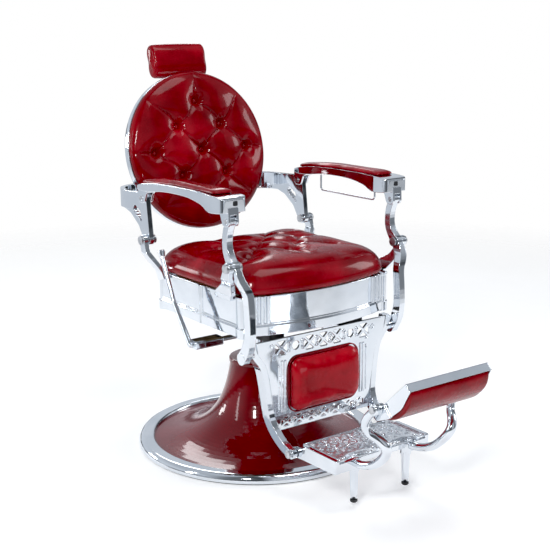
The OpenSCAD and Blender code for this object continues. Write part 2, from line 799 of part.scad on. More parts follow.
module legrest_rails() {
    side_path = smooth([
        [-290, 404, 15], [-290, 330, 15], [-291, 240, 15], [-296, 190, 15], [-316, 155, 15], [-350, 128, 14],
        [foot_hinge[0], foot_hinge[1], 13]
    ]);
    front_path = smooth([
        [236, 412, 9], [226, 372, 9], [202, 338, 9], [191, 300, 9], [182, 240, 9], [172, 160, 9], [168, 95, 7]
    ]);
    color(chrome) both_sides() difference() {
        union() {
            intersection() {
                along_x(140, 260) polygon(ribbon(side_path));
                along_y(-410, -260) polygon(ribbon(front_path));
            }
            rod_x(161.5, 174, foot_hinge, 14);
            rod_x(228, foot_x, [-292, 372], 14);
        }
        rod_x(140, 200, foot_hinge, 7 + run_gap);
    }
}

// Rounded window in a (x, z) plate
module window(points, r) polygon(rounded([for (p = points) [p[0], p[1], r]], 3));

// Lattice cell: four windows between crossed bars
module lattice_cell(w, h) {
    x = w / 2 - 2;
    z = h / 2 - 2;
    for (s = [-1, 1]) {
        window([[s * x, -z + 4], [s * x, z - 4], [s * 5, 0]], 1.5);
        window([[-x + 5, s * z], [x - 5, s * z], [0, s * 5]], 1.5);
    }
}

module legrest_panel() {
    back_y = -300;
    front_y = -306;
    edge = [[222, 404], [216, 372], [192, 338], [181, 300], [172, 240], [162, 160], [160, 150]];
    color(chrome) difference() {
        union() {
            along_y(front_y, back_y)
                polygon(concat(edge, [for (i = [len(edge) - 1:-1:0]) [-edge[i][0], edge[i][1]]]));
            both_sides() for (x = [128, 138])
                along_y(front_y - 3, front_y) translate([x, 200]) square([5, 142]);
            for (x = [lock_x - 11, lock_x + 5.5]) along_x(x, x + 5.5) polygon(rounded([
                [back_y, 340, 0], [lock_pin[0] + 8, lock_pin[1] - 10, 8],
                [lock_pin[0] + 10, lock_pin[1] + 9, 8], [back_y, 398, 0]
            ]));
            rod_x(lock_x - 11, lock_x + 11, lock_pin, lock_pin_r);
        }
        along_y(front_y - 5, back_y + 5) {
            for (i = [-3:3]) if (abs(i) != 2) translate([i * 47, 377]) lattice_cell(46, 42);
            for (i = [-3:3]) translate([i * 42, 171]) lattice_cell(40, 30);
            for (s = [-1, 1]) translate([s * 94, 377]) circle(r = 12);
        }
    }
}

module calf_pad() color(hide) {
    along_y(-324, -306.3)
        polygon(rounded([[-118, 194, 25], [118, 194, 25], [118, 346, 25], [-118, 346, 25]]));
    along_y(-332, -323.5)
        polygon(rounded([[-108, 204, 20], [108, 204, 20], [108, 336, 20], [-108, 336, 20]]));
}

// ---- Footplate ----

rail_thick = 12;
foot_leg_at = [89, -540];

module footplate_frame() {
    inner = foot_half - rail_thick;
    color(chrome) difference() {
        union() {
            both_sides() {
                along_x(inner, foot_half) polygon(rounded([
                    [-371, 128, 8], [-371, 102, 8], [-420, 106, 30], [-552, 108, 3],
                    [-552, 145, 3], [-430, 145, 40], [-400, 129, 12]
                ]));
                translate([foot_leg_at[0] - 14, -552, 110])
                    cube([inner - foot_leg_at[0] + 20, 14, deck_z - 7.3 - 110]);
            }
            both_sides() rod_z(104, 134, foot_leg_at, 15);
            translate([-inner - 1, -424, 118]) cube([2 * inner + 2, 12, 16]);
            translate([-foot_leg_at[0], -540, 118]) cube([2 * foot_leg_at[0], 8, 14]);
        }
        both_sides() rod_x(120, 200, foot_hinge, 7);
        both_sides() rod_z(90, 128, foot_leg_at, 9);
    }
}

module foot_grille() {
    half = foot_half - rail_thick - 0.5;
    swoop = [for (s = [-1, 1]) for (i = [0:12])
        let (a = 180 * i / 12) [s < 0 ? -70 + 58 * -cos(a) : 70 - 58 * cos(a), -548 + 26 * sin(a)]];
    color(chrome) difference() {
        along_z(deck_z - 7, deck_z) polygon(concat(
            [[-half, -404], [-half, -548]], [for (p = swoop) [p[0], p[1]]], [[half, -548], [half, -404]]
        ));
        along_z(deck_z - 10, deck_z + 3) {
            for (row = [0:2], i = [-3:3]) translate([i * 40, -428 - row * 36]) lattice_cell(38, 34);
            for (i = [-3:2]) translate([i * 40 + 20, -428 - 18]) circle(r = 1.6);
        }
    }
}

// Swan-neck arms that carry the flip-over pad
module lyre_arms() {
    path = smooth([
        [97, -556, 126], [98, -586, 132], [97, -630, 150], [100, -666, 182], [107, -680, 210],
        [120, -668, 231], [136, -648, 245], [148, -645, 268], [150, -660, 294],
        [146, flip_hinge[0], flip_hinge[1]]
    ], 2);
    color(chrome) both_sides() difference() {
        union() {
            bent_rod(path, 8.5);
            rod_x(138, 154, flip_hinge, 14);
            rod_z(118, 136, [97, -558], 8);
        }
        rod_x(120, 170, flip_hinge, 6);
    }
}

module foot_legs() color(chrome) both_sides()
    translate([foot_leg_at[0], foot_leg_at[1], 19]) cylinder(r1 = 8.2, r2 = 9, h = 109);

module leg_tips() color(black) both_sides()
    translate([foot_leg_at[0], foot_leg_at[1], 15]) rotate_extrude() polygon([
        [0, 0], [7, 0], [9.8, 2.6], [9.8, 9], [8.2 + 0.8 * 5 / 109, 9], [8.2, 4], [0, 4]
    ]);

module foot_hinge_pins() color(steel) both_sides() {
    rod_x(146, 181, foot_hinge, 7);
    rod_x(179, 184, foot_hinge, 10);
    rod_x(124, 156, flip_hinge, 6);
    rod_x(154.3, 159, flip_hinge, 9);
}

// ---- Flip-over pad ----

// Draws a piece in the pad's own frame: y runs from the hinge to the far edge, z is up and back
module in_pad() {
    translate([0, flip_hinge[0], flip_hinge[1]]) rotate([180 - pad_tilt, 0, 0]) mirror([0, 0, 1]) children();
}

pad_low = -28;
pad_far = 124;

module flip_tray() color(chrome) in_pad() difference() {
    union() {
        translate([-pad_half, pad_low, -4.5]) cube([2 * pad_half, pad_far - pad_low, 3]);
        translate([-pad_half, pad_far - 2.5, -23]) cube([2 * pad_half, 2.5, 20]);
        translate([-pad_half, pad_low, -20]) cube([2 * pad_half, 2.5, 17]);
        both_sides() along_x(pad_half - 3, pad_half) polygon(rounded([
            [pad_low, -1.5, 0], [pad_low, -20, 4], [14, -36, 30], [70, -40, 60],
            [pad_far, -23, 3], [pad_far, -1.5, 0]
        ]));
        both_sides() rod_x(124, 137, [0, 0], 12);
    }
    both_sides() rod_x(110, 145, [0, 0], 6 + run_gap);
}

module flip_cushion() color(hide) in_pad() difference() {
    along_x(-pad_half + 3.3, pad_half - 3.3) polygon(rounded([
        [pad_low + 2.8, -4.8, 0], [pad_low + 2.8, -24, 6], [14, -42, 30], [70, -46, 60],
        [pad_far - 2.8, -27, 6], [pad_far - 2.8, -4.8, 0]
    ]));
    both_sides() rod_x(122, 140, [0, 0], 13);
}

floor_pad();
base_plate();
base_trim_ring();
base_cover();
pedestal_collar();
pump_body();
pump_cylinder();
base_bolts();
pedal_pin();
pump_pedal();
pedal_pad();
pump_plunger();
lift_piston();
swivel_bearing();
seat_carrier();
seat_frame();
skirt_front();
skirt_sides();
skirt_rear();
corner_posts();
seat_board();
seat_cushion();
front_brackets();
rear_brackets();
pivot_pins();
lock_cylinder();
lock_rod();
lever_arm();
lever_knob();
lever_clamp();
lever_shaft();
back_plate_left();
back_plate_right();
back_crossbar();
back_shell();
back_cushion();
headrest_socket();
headrest_knob();
headrest_bar();
headrest_board();
headrest_cushion();
arm_left();
arm_right();
arm_pad_left();
arm_pad_right();
arm_pins_left();
arm_pins_right();
towel_bar();
leg_posts();
legrest_rails();
legrest_panel();
calf_pad();
footplate_frame();
foot_grille();
lyre_arms();
foot_legs();
leg_tips();
foot_hinge_pins();
flip_tray();
flip_cushion();
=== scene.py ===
"""Looks of the hydraulic barber chair: materials, leather, fine castings, floor, light and camera."""
import json
import math

import bmesh
import bpy
import numpy as np
from mathutils import Matrix, Vector


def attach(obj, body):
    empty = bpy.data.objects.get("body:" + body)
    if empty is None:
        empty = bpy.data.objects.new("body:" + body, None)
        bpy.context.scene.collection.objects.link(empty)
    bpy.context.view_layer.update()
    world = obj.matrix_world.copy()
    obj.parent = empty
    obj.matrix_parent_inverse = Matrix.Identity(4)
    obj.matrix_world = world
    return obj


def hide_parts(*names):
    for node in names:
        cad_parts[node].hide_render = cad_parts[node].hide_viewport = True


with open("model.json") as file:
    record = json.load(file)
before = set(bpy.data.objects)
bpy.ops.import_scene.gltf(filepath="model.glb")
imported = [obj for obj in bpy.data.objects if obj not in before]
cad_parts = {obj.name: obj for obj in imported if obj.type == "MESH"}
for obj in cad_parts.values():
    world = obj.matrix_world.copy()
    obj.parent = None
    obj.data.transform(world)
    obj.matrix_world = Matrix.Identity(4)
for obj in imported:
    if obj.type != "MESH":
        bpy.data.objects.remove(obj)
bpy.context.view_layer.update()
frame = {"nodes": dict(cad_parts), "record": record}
MM = 0.001


# ---- Camera ----

CAMERA_AT = (-1.791, -2.5154, 1.2185)
CAMERA_LENS = 71.94
AZIMUTH, ELEVATION, ROLL = -36.414, 13.157, -0.378


def make_camera():
    """The camera, turned by its azimuth, elevation and slight roll as seen from the chair."""
    azimuth, elevation, roll = (math.radians(angle) for angle in (AZIMUTH, ELEVATION, ROLL))
    back = Vector((
        math.sin(azimuth) * math.cos(elevation),
        -math.cos(azimuth) * math.cos(elevation),
        math.sin(elevation),
    ))
    right = Vector((math.cos(azimuth), math.sin(azimuth), 0))
    up = back.cross(right)
    across = right * math.cos(roll) + up * math.sin(roll)
    above = up * math.cos(roll) - right * math.sin(roll)
    data = bpy.data.cameras.new("camera")
    data.sensor_width = 36
    data.lens = CAMERA_LENS
    data.clip_end = 100
    camera = bpy.data.objects.new("camera", data)
    bpy.context.scene.collection.objects.link(camera)
    turn = Matrix((across, above, back)).transposed().to_4x4()
    camera.matrix_world = Matrix.Translation(CAMERA_AT) @ turn
    bpy.context.scene.camera = camera


# ---- Materials ----

class Nodes:
    """Short-hand for building one material's node tree."""

    def __init__(self, name):
        self.material = bpy.data.materials.new(name)
        self.material.use_nodes = True
        self.tree = self.material.node_tree
        self.shader = self.tree.nodes["Principled BSDF"]
        self.place = self.add("ShaderNodeTexCoord").outputs["Object"]

    def add(self, kind, **values):
        node = self.tree.nodes.new(kind)
        for name, value in values.items():
            if name in node.inputs:
                node.inputs[name].default_value = value
            else:
                setattr(node, name, value)
        return node

    def link(self, source, target):
        self.tree.links.new(source, target)

    def noise(self, scale, detail=3, roughness=0.5, stretch=None):
        node = self.add("ShaderNodeTexNoise", Scale=scale, Detail=detail, Roughness=roughness)
        self.link(self.stretched(stretch) if stretch else self.place, node.inputs["Vector"])
        return node.outputs["Fac"]

    def cells(self, scale, feature="F1"):
        node = self.add("ShaderNodeTexVoronoi", Scale=scale)
        node.feature = feature
        self.link(self.place, node.inputs["Vector"])
        return node.outputs["Distance"]

    def stretched(self, scale):
        node = self.add("ShaderNodeMapping")
        node.inputs["Scale"].default_value = scale
        self.link(self.place, node.inputs["Vector"])
        return node.outputs["Vector"]

    def spread(self, source, low, high, at=(0.3, 0.7)):
        """Maps a value from the range at to the range low..high, held at its ends."""
        node = self.add("ShaderNodeMapRange")
        for name, value in zip(("From Min", "From Max", "To Min", "To Max"), (*at, low, high)):
            node.inputs[name].default_value = value
        self.link(source, node.inputs["Value"])
        return node.outputs["Result"]

    def ramp(self, source, stops):
        node = self.add("ShaderNodeValToRGB")
        node.color_ramp.interpolation = "EASE"
        while len(node.color_ramp.elements) < len(stops):
            node.color_ramp.elements.new(0.5)
        for element, (place, colour) in zip(node.color_ramp.elements, stops):
            element.position = place
            element.color = (*colour, 1)
        self.link(source, node.inputs["Fac"])
        return node.outputs["Color"]

    def mix(self, factor, a, b):
        node = self.add("ShaderNodeMix", data_type="RGBA")
        self.link(factor, node.inputs["Factor"])
        for value, socket in ((a, node.inputs["A"]), (b, node.inputs["B"])):
            if isinstance(value, tuple):
                socket.default_value = (*value, 1)
            else:
                self.link(value, socket)
        return node.outputs["Result"]

    def colour(self, source):
        self.link(source, self.shader.inputs["Base Color"])

    def rough(self, source):
        self.link(source, self.shader.inputs["Roughness"])

    def bump(self, *layers, edge=0.0):
        """Each layer is (height, strength, distance in metres); edge is a radius that rounds hard edges."""
        last = None
        if edge:
            last = self.add("ShaderNodeBevel", samples=6, Radius=edge).outputs["Normal"]
        for height, strength, distance in layers:
            node = self.add("ShaderNodeBump", Strength=strength, Distance=distance)
            self.link(height, node.inputs["Height"])
            if last:
                self.link(last, node.inputs["Normal"])
            last = node.outputs["Normal"]
        self.link(last, self.shader.inputs["Normal"])

    def set(self, **values):
        for name, value in values.items():
            self.shader.inputs[name.replace("_", " ")].default_value = value


def chrome():
    """Bright plate: almost mirror-smooth, with the waviness of polished castings and faint wiping marks."""
    n = Nodes("chrome")
    n.set(Metallic=1.0)
    smudge = n.noise(9, detail=4)
    n.colour(n.ramp(smudge, [(0.25, (0.69, 0.73, 0.78)), (0.75, (0.78, 0.81, 0.85))]))
    n.rough(n.spread(n.noise(30, detail=5, roughness=0.7), 0.03, 0.09))
    n.bump((n.noise(18, detail=1), 0.30, 0.0020), (n.noise(420, detail=2), 0.05, 0.0002), edge=0.0028)
    return n.material


def satin():
    """The same plate over rougher cast tracery, so that it takes a broad, pale sheen."""
    n = Nodes("satin_chrome")
    n.set(Metallic=0.85)
    n.colour(n.ramp(n.noise(25, detail=4), [(0.3, (0.66, 0.70, 0.75)), (0.7, (0.84, 0.87, 0.91))]))
    n.rough(n.spread(n.noise(80, detail=4), 0.20, 0.42))
    n.bump((n.noise(130, detail=3), 0.35, 0.0012), edge=0.0016)
    return n.material


def enamel():
    """Deep red gloss paint with a clear top coat and faint orange peel."""
    n = Nodes("red_enamel")
    n.set(Coat_Weight=0.75, Coat_Roughness=0.05, Specular_IOR_Level=0.12)
    n.colour(n.ramp(n.noise(5, detail=3), [(0.3, (0.150, 0.001, 0.004)), (0.7, (0.215, 0.002, 0.007))]))
    n.rough(n.spread(n.noise(60), 0.16, 0.26))
    n.bump((n.noise(40, detail=1), 0.06, 0.0004), (n.noise(1500, detail=2), 0.02, 0.0001))
    return n.material


def leather(name, painted_light_gain=1.0):
    """Glossy antiqued leather: clouded reds, fine pebble grain, hair creases and a polished finish. A gain
    above 1 brightens every red, for a copy that paints extra light on a pad.
    """

    def red(*values):
        return tuple(painted_light_gain * value for value in values)

    n = Nodes(name)
    n.set(Coat_Weight=0.38, Coat_Roughness=0.08, Specular_IOR_Level=0.07)
    cloud = n.noise(8, detail=4, roughness=0.55)
    streak = n.noise(6, detail=4, roughness=0.55, stretch=(1, 4, 3))
    dark = n.ramp(cloud, [(0.30, red(0.130, 0.001, 0.003)), (0.52, red(0.200, 0.002, 0.006)),
                          (0.74, red(0.300, 0.003, 0.009))])
    worn = n.ramp(cloud, [(0.30, red(0.185, 0.002, 0.005)), (0.74, red(0.370, 0.008, 0.017))])
    n.colour(n.mix(n.spread(streak, 0, 1, at=(0.40, 0.64)), dark, worn))
    n.rough(n.spread(n.noise(50, detail=4, roughness=0.6), 0.20, 0.31))
    grain = n.cells(560, "SMOOTH_F1")
    crease = n.cells(110, "DISTANCE_TO_EDGE")
    n.bump(
        (n.noise(14, detail=2), 0.14, 0.0014),
        (n.spread(crease, 0, 1, at=(0.0, 0.12)), 0.05, 0.0002),
        (grain, 0.12, 0.0002),
    )
    return n.material


def rubber():
    """Dull moulded rubber with a fine grain."""
    n = Nodes("black_rubber")
    n.colour(n.ramp(n.noise(40, detail=4), [(0.3, (0.010, 0.010, 0.011)), (0.7, (0.028, 0.028, 0.030))]))
    n.rough(n.spread(n.noise(90), 0.5, 0.72))
    n.bump((n.noise(900, detail=3), 0.25, 0.0003))
    return n.material


def iron():
    """Dark cast iron."""
    n = Nodes("dark_iron")
    n.set(Metallic=0.35)
    n.colour(n.ramp(n.noise(35, detail=5), [(0.3, (0.020, 0.019, 0.019)), (0.7, (0.055, 0.052, 0.050))]))
    n.rough(n.spread(n.noise(60, detail=5), 0.42, 0.66))
    n.bump((n.noise(320, detail=5), 0.35, 0.0005))
    return n.material


def steel():
    """Ground steel with fine turning marks."""
    n = Nodes("steel")
    n.set(Metallic=1.0)
    marks = n.noise(60, detail=4, stretch=(30, 1, 1))
    n.colour(n.ramp(marks, [(0.3, (0.40, 0.41, 0.43)), (0.7, (0.62, 0.63, 0.65))]))
    n.rough(n.spread(marks, 0.22, 0.38))
    n.bump((marks, 0.12, 0.0002))
    return n.material


def plywood():
    """Plywood with long, uneven grain."""
    n = Nodes("plywood")
    rings = n.noise(14, detail=5, stretch=(1, 9, 40))
    n.colour(n.ramp(rings, [(0.3, (0.34, 0.21, 0.10)), (0.7, (0.58, 0.41, 0.23))]))
    n.rough(n.spread(rings, 0.5, 0.7))
    n.bump((rings, 0.2, 0.0004))
    return n.material


def plastic():
    """Black moulded plastic with a slight sheen."""
    n = Nodes("black_plastic")
    n.colour(n.ramp(n.noise(50), [(0.3, (0.012, 0.012, 0.013)), (0.7, (0.022, 0.022, 0.024))]))
    n.rough(n.spread(n.noise(120), 0.34, 0.46))
    n.bump((n.noise(700, detail=2), 0.15, 0.0002))
    return n.material


MATERIALS = {
    "chrome": chrome(),
    "satin_chrome": satin(),
    "red_enamel": enamel(),
    "red_leather": leather("red_leather"),
    # A leather copy 1.75 times brighter: painted light for the brightly lit calf pad.
    "painted_light_leather": leather("painted_light_leather", 1.75),
    "black_rubber": rubber(),
    "dark_iron": iron(),
    "steel": steel(),
    "plywood": plywood(),
    "black_plastic": plastic(),
}


ROUGH_CAST = {"foot_grille"}
UNBEVELLED = {"floor_pad", "base_cover", "base_trim_ring", "foot_grille"}
FINE_EDGED = {"pivot_pins", "lever_knob", "arm_pins_left", "arm_pins_right", "foot_hinge_pins", "towel_bar",
              "headrest_knob"}
FINE_BEVEL, BEVEL = 0.0006, 0.0013


def paint_frame():
    """Every CAD node takes its slot's material, and hard edges get a small bevel that catches the light."""
    for part in frame["record"]["subparts"]:
        node = part["node"]
        obj = frame["nodes"][node]
        look = "satin_chrome" if node in ROUGH_CAST else part["material_slot"]
        obj.data.materials.clear()
        obj.data.materials.append(MATERIALS[look])
        if node not in UNBEVELLED:
            bevel = obj.modifiers.new("edge", "BEVEL")
            bevel.width = FINE_BEVEL if node in FINE_EDGED else BEVEL
            bevel.segments = 2
            bevel.limit_method = "ANGLE"
            bevel.angle_limit = math.radians(38)


# ---- Mesh helpers ----

def new_piece(name, vertices, faces, slot, body, smooth=True):
    """A finished piece from vertices in metres."""
    mesh = bpy.data.meshes.new(name)
    mesh.from_pydata([tuple(v) for v in vertices], [], faces)
    mesh.update()
    obj = bpy.data.objects.new(name, mesh)
    bpy.context.scene.collection.objects.link(obj)
    finish_piece(obj, slot, body, smooth)
    return obj


def finish_piece(obj, slot, body, smooth=True, look=None):
    """Gives a piece its body and its material: the slot's own, unless look names another."""
    for polygon in obj.data.polygons:
        polygon.use_smooth = smooth
    obj.data.materials.clear()
    obj.data.materials.append(MATERIALS[look or slot])
    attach(obj, body)


def ring_faces(rings, count, close_start=True, close_end=True):
    """Quads between successive rings of count points, with a cap at each end."""
    faces = []
    for r in range(rings - 1):
        for k in range(count):
            n = (k + 1) % count
            faces.append((r * count + k, r * count + n, (r + 1) * count + n, (r + 1) * count + k))
    if close_start:
        faces.append(tuple(range(count - 1, -1, -1)))
    if close_end:
        faces.append(tuple((rings - 1) * count + k for k in range(count)))
    return faces


# ---- Tufted leather ----

def segment_distance(points, a, b):
    """Distance of each point to the segment a-b, and how far along it lies, from 0 to 1."""
    run = b - a
    along = np.clip(((points - a) @ run) / (run @ run), 0, 1)
    return np.linalg.norm(points - a - along[:, None] * run, axis=1), along


SEAM_WIDTH = 2.8
DIMPLE_WIDTH, PIT_WIDTH = 27, 11
WANDER, WANDER_START = 4.2, 26
PUCKER, PUCKER_RING, PUCKER_WIDTH = 0.32, 17, 11


def tufting(points, buttons, links, depth, puff_width):
    """How far the leather is drawn in at each plan point: pleats along the links, dimples at the buttons.

    A pleat is a broad puff with a narrow seam in it. Each link is two plan points and how much of its depth
    fades away from the first to the second; one that doesn't fade is drawn in less at its middle.
    """
    drop = np.zeros(len(points))
    wandering = wander(points, buttons)
    for a, b, fade in links:
        distance, along = segment_distance(wandering, np.array(a, float), np.array(b, float))
        strength = depth * (1 - fade * along)
        sag = 1 - 0.42 * np.sin(np.pi * along) if fade == 0 else 1.0
        valley = 0.60 * np.exp(-(distance / puff_width) ** 1.25) + 0.34 * np.exp(-distance / SEAM_WIDTH)
        drop = np.maximum(drop, strength * sag * valley)
    for at in buttons:
        distance = np.linalg.norm(points - np.array(at, float), axis=1)
        broad = 0.95 * np.exp(-(distance / DIMPLE_WIDTH) ** 1.5)
        dimple = depth * (broad + 0.60 * np.exp(-(distance / PIT_WIDTH) ** 2))
        drop = np.maximum(drop, dimple) + 0.25 * np.minimum(drop, dimple)
    return drop


def wander(points, buttons):
    """The plan points shifted a little away from the buttons, so that the pleats run in slight curves."""
    away = np.ones(len(points))
    for at in buttons:
        distance = np.linalg.norm(points - np.array(at, float), axis=1)
        away *= 1 - np.exp(-(distance / WANDER_START) ** 2)
    shift = np.column_stack([np.sin(points[:, 1] / 21 + 0.6), np.cos(points[:, 0] / 19 + 1.9)])
    return points + WANDER * away[:, None] * shift


def puckers(points, buttons):
    """Small radiating wrinkles round each button."""
    height = np.zeros(len(points))
    for i, at in enumerate(buttons):
        offset = points - np.array(at, float)
        distance = np.linalg.norm(offset, axis=1)
        angle = np.arctan2(offset[:, 1], offset[:, 0])
        wave = np.sin(angle * 7 + i * 1.7) + 0.6 * np.sin(angle * 12 + i * 2.9)
        height += PUCKER * wave * np.exp(-((distance - PUCKER_RING) / PUCKER_WIDTH) ** 2)
    return height


def crowned_cushion(name, outline, section, buttons, links, depth, puff_width, to_chair, body, node):
    """A closed cushion whose rings run from the middle of its top to the rim, down the side and under.

    outline(angle) gives the rim's plan point; section is a list of (share of the rim, height) in mm, from
    the middle of the top, over the edge and down to the underside.
    """
    count = 440
    angles = np.linspace(0, 2 * math.pi, count, endpoint=False)
    rim = np.array([outline(a) for a in angles])
    shares, heights = refine(section)
    plan = shares[:, None, None] * rim[None]
    points = plan.reshape(-1, 2)
    height = np.repeat(heights, count)
    share = np.repeat(shares, count)
    top = np.repeat(np.arange(len(shares)) <= np.argmax(shares), count)
    weight = np.where(top, np.clip((1.0 - share) / 0.16, 0, 1) ** 0.7, 0)
    drop = tufting(points, buttons, links, depth, puff_width) * weight
    lift = puckers(points, buttons) * weight
    solid = np.column_stack([points, height - drop + lift])
    vertices = to_chair(solid)
    obj = new_piece(name, vertices * MM, ring_faces(len(shares), count), "red_leather", body)
    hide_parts(node)


SECTION_STEP, SECTION_REACH = 2.6, 235


def refine(section):
    """Closely spaced points along a section of (share of the reach, height), with its corners eased."""
    shares, heights = [section[0][0]], [section[0][1]]
    for (s0, h0), (s1, h1) in zip(section, section[1:]):
        length = math.hypot((s1 - s0) * SECTION_REACH, h1 - h0)
        pieces = max(1, round(length / SECTION_STEP))
        for k in range(1, pieces + 1):
            shares.append(s0 + (s1 - s0) * k / pieces)
            heights.append(h0 + (h1 - h0) * k / pieces)
    rows = np.column_stack([shares, heights])
    for _ in range(14):
        rows[1:-1] = (rows[:-2] + 2 * rows[1:-1] + rows[2:]) / 4
    return rows[:, 0], rows[:, 1]


BUTTON_RADIUS, BUTTON_PROUD = 7.6, 4.4


def button(name, at, normal, body):
    """A covered button: a shallow dome with a rolled edge."""
    profile = [(1.0, -2.5), (1.04, -0.6), (0.98, 0.8), (0.82, 1.9), (0.55, 2.6), (0.25, BUTTON_PROUD),
               (0.03, BUTTON_PROUD + 0.05)]
    count = 28
    rotation = Vector((0, 0, 1)).rotation_difference(Vector(normal)).to_matrix()
    vertices = []
    for share, height in profile:
        for k in range(count):
            turn = 2 * math.pi * k / count
            radius = BUTTON_RADIUS * share
            local = Vector((radius * math.cos(turn), radius * math.sin(turn), height))
            vertices.append((Vector(at) + rotation @ local) * MM)
    new_piece(name, vertices, ring_faces(len(profile), count), "red_leather", body)


# The backrest's own axes, from the middle of its dish
LEAN = math.radians(12)
DISH = np.array([0, 313.0, 828.0])
BACK_X = np.array([1, 0, 0])
BACK_Y = np.array([0, math.cos(LEAN), -math.sin(LEAN)])
BACK_Z = np.array([0, math.sin(LEAN), math.cos(LEAN)])
BACK_RIM = 237
BACK_BUTTON_SINK = 28.5


def from_back(points):
    """Plan x, plan z and height in front of the dish, in mm, to the chair's frame."""
    points = np.atleast_2d(points)
    return DISH + points[:, :1] * BACK_X + points[:, 1:2] * BACK_Z - points[:, 2:3] * BACK_Y


def lattice_links(buttons, reach):
    """Pairs of buttons that lie next to each other in the diamond pattern."""
    links = []
    for i, a in enumerate(buttons):
        for b in buttons[i + 1:]:
            if math.dist(a, b) < reach:
                links.append((a, b, 0))
    return links


def back_cushion():
    """Round back cushion with nine buttons in diamonds, and pleats running out to its rim."""
    a, b = 76, 73
    buttons = [(0, 2 * b), (-a, b), (a, b), (-2.1 * a, 0), (0, 0), (2.1 * a, 0), (-a, -b), (a, -b),
               (0, -2 * b)]
    links = lattice_links(buttons, 118)
    pleat_end = BACK_RIM - 7
    for x, z in buttons:
        if math.hypot(x, z) < 1:
            continue
        for turn in outward_turns(x, z):
            links.append(((x, z), (pleat_end * math.cos(turn), pleat_end * math.sin(turn)), 0.8))
    crown = [(0.02, 58), (0.25, 57.8), (0.45, 57), (0.60, 55.3), (0.70, 53), (0.78, 49.8), (0.85, 45.5),
             (0.905, 40.5)]
    side = [(0.945, 35.5), (0.975, 29.5), (0.993, 23), (1.0, 17), (1.0, 13), (0.996, 10.2), (0.985, 8.6),
            (0.2, 8.6)]
    section = crown + side

    def outline(angle):
        return (BACK_RIM * math.cos(angle), BACK_RIM * math.sin(angle))

    crowned_cushion("back_cushion_leather", outline, section, buttons, links, 21, 30, from_back, "back",
                    "back_cushion")
    for i, (x, z) in enumerate(buttons):
        height = crown_height(section, math.hypot(x, z) / (BACK_RIM - 1)) - BACK_BUTTON_SINK
        button(f"back_button_{i + 1}", from_back([[x, z, height]])[0], tuple(-BACK_Y), "back")


def outward_turns(x, z):
    """Directions of the rim pleats from an outer button."""
    turn = math.atan2(z, x)
    straight = abs(x) < 1 or abs(z) < 1
    return [turn] if straight else [math.radians(45 + 90 * (int(math.degrees(turn) // 90)))]


def crown_height(section, share):
    """Height of a section's top at a share of the way to its rim."""
    for (s0, h0), (s1, h1) in zip(section, section[1:]):
        if s0 <= share <= s1:
            return h0 + (h1 - h0) * (share - s0) / (s1 - s0)
    return section[0][1]


SEAT_MIDDLE_Y = -92.0
SEAT_BUTTON_SINK = 27.5


def seat_outline(angle):
    """Rim of the seat cushion round its middle: straight sides, rounded corners and a bowed front."""
    half, back_y, front_y, corner = 254.0, 147.0, -332.0, 52.0
    bow, bow_half = 41.0, 226
    curve = (bow_half ** 2 + bow ** 2) / (2 * bow)
    direction = np.array([math.cos(angle), math.sin(angle)])

    def inside(point):
        x, y = abs(point[0]), point[1] + SEAT_MIDDLE_Y
        front = front_y + curve - math.sqrt(curve ** 2 - min(x, half) ** 2)
        gap_side, gap_back, gap_front = half - x, back_y - y, y - front
        end = min(gap_back, gap_front)
        if gap_side < corner and end < corner:
            return corner - math.hypot(corner - gap_side, corner - end)
        return min(gap_side, end)

    low, high = 100.0, 420.0
    for _ in range(40):
        middle = (low + high) / 2
        if inside(direction * middle) > 0:
            low = middle
        else:
            high = middle
    return tuple(direction * low)


def seat_cushion():
    """Deep seat cushion: tufted top and a smooth, full apron."""
    buttons = [(-140, -72), (0, -72), (140, -72), (-70, -2), (70, -2), (-140, 68), (0, 68), (140, 68),
               (-70, 138), (70, 138)]
    links = lattice_links(buttons, 105)
    rim_ends = {(-140, -72): (-200, -130), (140, -72): (200, -130), (0, -72): (0, -150),
                (-70, 138): (-110, 205), (70, 138): (110, 205), (-140, 68): (-215, 68), (140, 68): (215, 68)}
    for start, end in rim_ends.items():
        links.append((start, end, 0.85))
    crown = [(0.02, 612), (0.30, 611.6), (0.50, 610), (0.62, 607.3), (0.71, 603.8), (0.78, 599.3),
             (0.84, 593)]
    side = [(0.89, 585.5), (0.933, 575.5), (0.965, 564), (0.988, 550), (1.0, 538), (0.997, 530),
            (0.98, 525), (0.95, 523.6), (0.2, 523.6)]
    section = crown + side

    def to_chair(points):
        return np.column_stack([points[:, 0], points[:, 1] + SEAT_MIDDLE_Y, points[:, 2]])

    crowned_cushion("seat_cushion_leather", seat_outline, section, buttons, links, 20, 28, to_chair, "seat",
                    "seat_cushion")
    for i, (x, y) in enumerate(buttons):
        share = math.hypot(x, y) / math.hypot(*seat_outline(math.atan2(y, x)))
        height = crown_height(section, share) - SEAT_BUTTON_SINK
        button(f"seat_button_{i + 1}", (x, y + SEAT_MIDDLE_Y, height), (0, 0, 1), "seat")


# ---- Simulated pads ----

